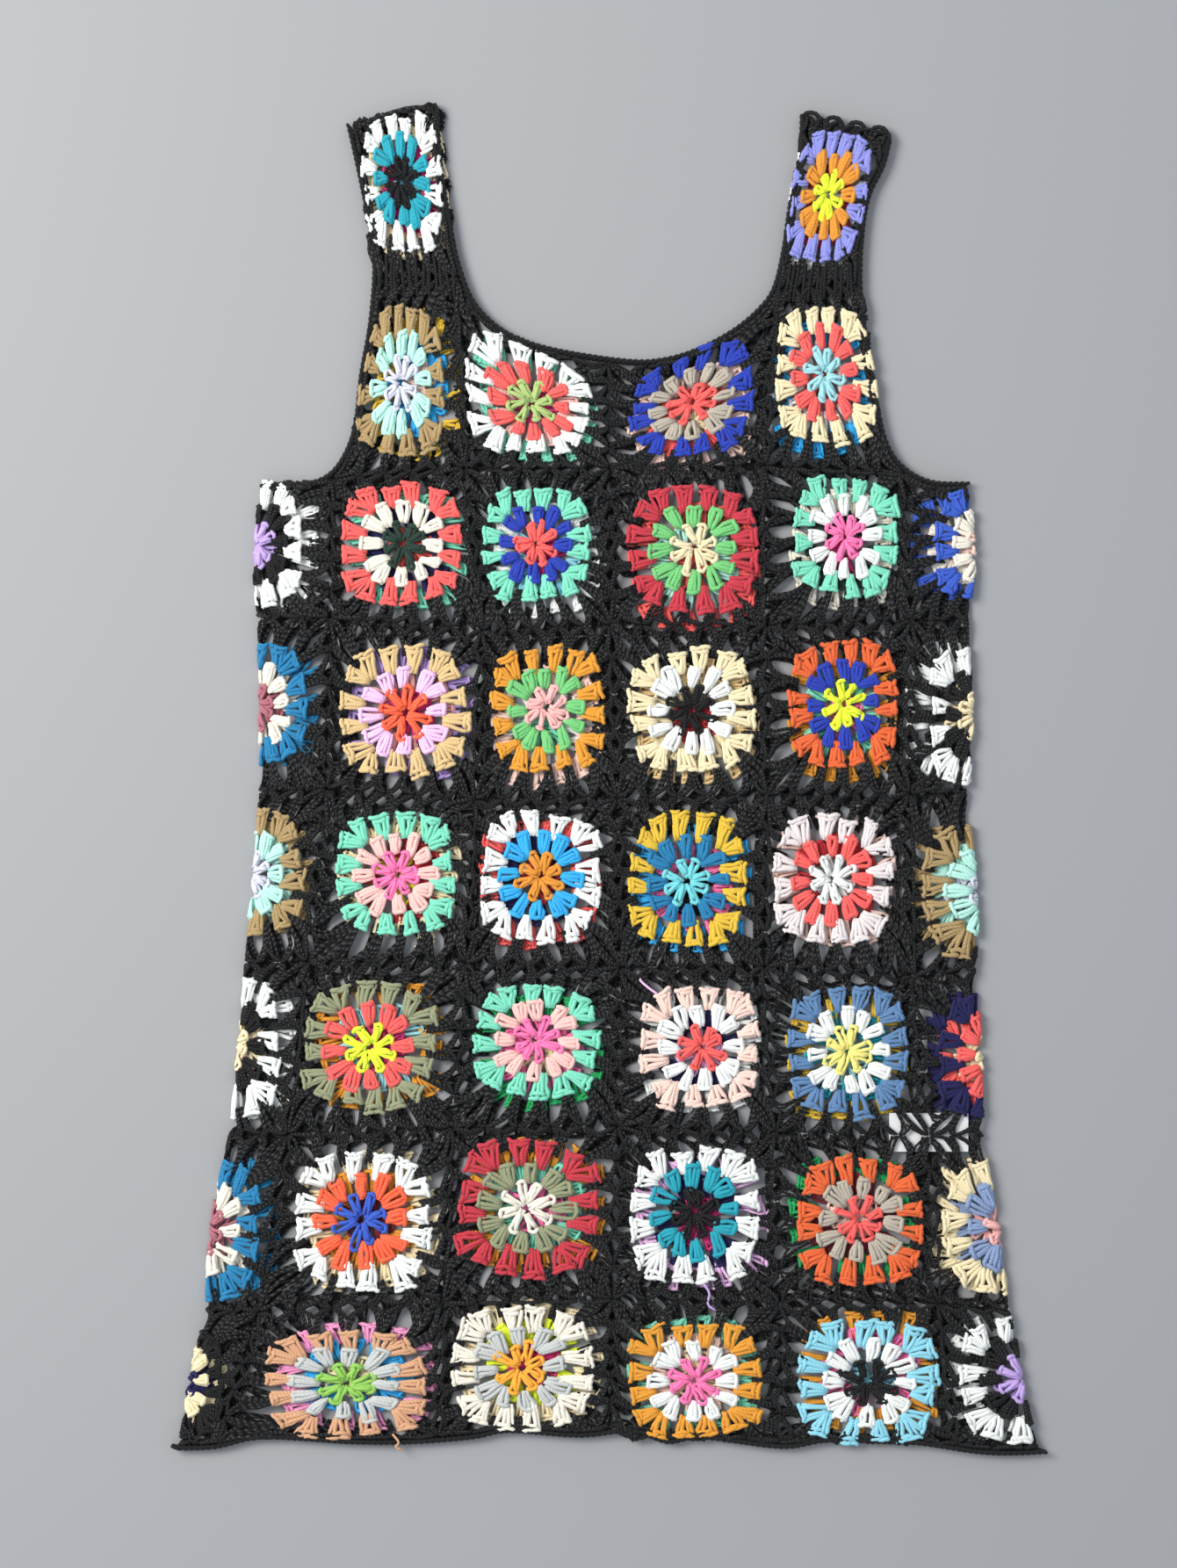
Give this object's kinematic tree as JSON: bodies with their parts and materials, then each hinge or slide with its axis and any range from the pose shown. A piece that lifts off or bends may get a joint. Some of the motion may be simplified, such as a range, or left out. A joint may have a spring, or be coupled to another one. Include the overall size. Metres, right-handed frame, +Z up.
{
  "type": "crochet cami dress, laid flat",
  "caption": "Sleeveless crochet dress of many-coloured granny squares joined in black lace, with wide square straps, laid flat on its back.",
  "frame": {"origin": "centre of the underside of the whole dress's box, on the surface it lies on", "axes": "+X towards the wearer's left side, which is on the right in the picture; +Y from the hem to the straps; +Z up, out of the front of the dress"},
  "size_m": [0.5421, 0.837, 0.0069],
  "materials": {
    "coral_cotton": "coral cotton yarn, crocheted, matt",
    "mint_cotton": "mint cotton yarn, crocheted, matt",
    "crimson_cotton": "crimson cotton yarn, crocheted, matt",
    "black_cotton": "black cotton yarn, crocheted, matt",
    "white_cotton": "white cotton yarn, crocheted, matt",
    "royal_cotton": "royal cotton yarn, crocheted, matt",
    "tan_cotton": "tan cotton yarn, crocheted, matt",
    "gold_cotton": "gold cotton yarn, crocheted, matt",
    "cream_cotton": "cream cotton yarn, crocheted, matt",
    "orange_cotton": "orange cotton yarn, crocheted, matt",
    "cerulean_cotton": "cerulean cotton yarn, crocheted, matt",
    "mustard_cotton": "mustard cotton yarn, crocheted, matt",
    "peach_cotton": "peach cotton yarn, crocheted, matt",
    "khaki_cotton": "khaki cotton yarn, crocheted, matt",
    "sage_cotton": "sage cotton yarn, crocheted, matt",
    "steel_cotton": "steel cotton yarn, crocheted, matt",
    "navy_cotton": "navy cotton yarn, crocheted, matt",
    "brown_cotton": "brown cotton yarn, crocheted, matt",
    "sky_cotton": "sky cotton yarn, crocheted, matt",
    "periwinkle_cotton": "periwinkle cotton yarn, crocheted, matt",
    "label_tape": "plain woven white tape, matt"
  },
  "bodies": {
    "root": {"front_row1_square1": "coral_cotton", "front_row1_square2": "mint_cotton", "front_row1_square3": "crimson_cotton", "front_row1_square4": "mint_cotton", "back_row1": "black_cotton", "side_left_row1": "white_cotton", "side_right_row1": "royal_cotton", "front_row2_square1": "tan_cotton", "front_row2_square2": "gold_cotton", "front_row2_square3": "cream_cotton", "front_row2_square4": "orange_cotton", "back_row2": "black_cotton", "side_left_row2": "cerulean_cotton", "side_right_row2": "white_cotton", "front_row3_square1": "mint_cotton", "front_row3_square2": "white_cotton", "front_row3_square3": "mustard_cotton", "front_row3_square4": "peach_cotton", "back_row3": "black_cotton", "side_left_row3": "khaki_cotton", "side_right_row3": "khaki_cotton", "front_row4_square1": "sage_cotton", "front_row4_square2": "mint_cotton", "front_row4_square3": "peach_cotton", "front_row4_square4": "steel_cotton", "back_row4": "black_cotton", "side_left_row4": "white_cotton", "side_right_row4": "navy_cotton", "front_row5_square1": "white_cotton", "front_row5_square2": "crimson_cotton", "front_row5_square3": "white_cotton", "front_row5_square4": "orange_cotton", "back_row5": "black_cotton", "side_left_row5": "cerulean_cotton", "side_right_row5": "cream_cotton", "front_row6_square1": "brown_cotton", "front_row6_square2": "cream_cotton", "front_row6_square3": "gold_cotton", "front_row6_square4": "sky_cotton", "back_row6": "black_cotton", "side_left_row6": "black_cotton", "side_right_row6": "white_cotton", "front_yoke_square1": "khaki_cotton", "back_yoke_square1": "black_cotton", "front_yoke_square2": "white_cotton", "back_yoke_square2": "black_cotton", "front_yoke_square3": "royal_cotton", "back_yoke_square3": "black_cotton", "front_yoke_square4": "cream_cotton", "back_yoke_square4": "black_cotton", "strap_left_front": "white_cotton", "strap_left_back": "black_cotton", "strap_right_front": "periwinkle_cotton", "strap_right_back": "black_cotton", "armhole_left_edging": "black_cotton", "neck_edging": "black_cotton", "armhole_right_edging": "black_cotton", "hem_edging": "black_cotton", "side_label": "label_tape"}
  },
  "joints": []
}
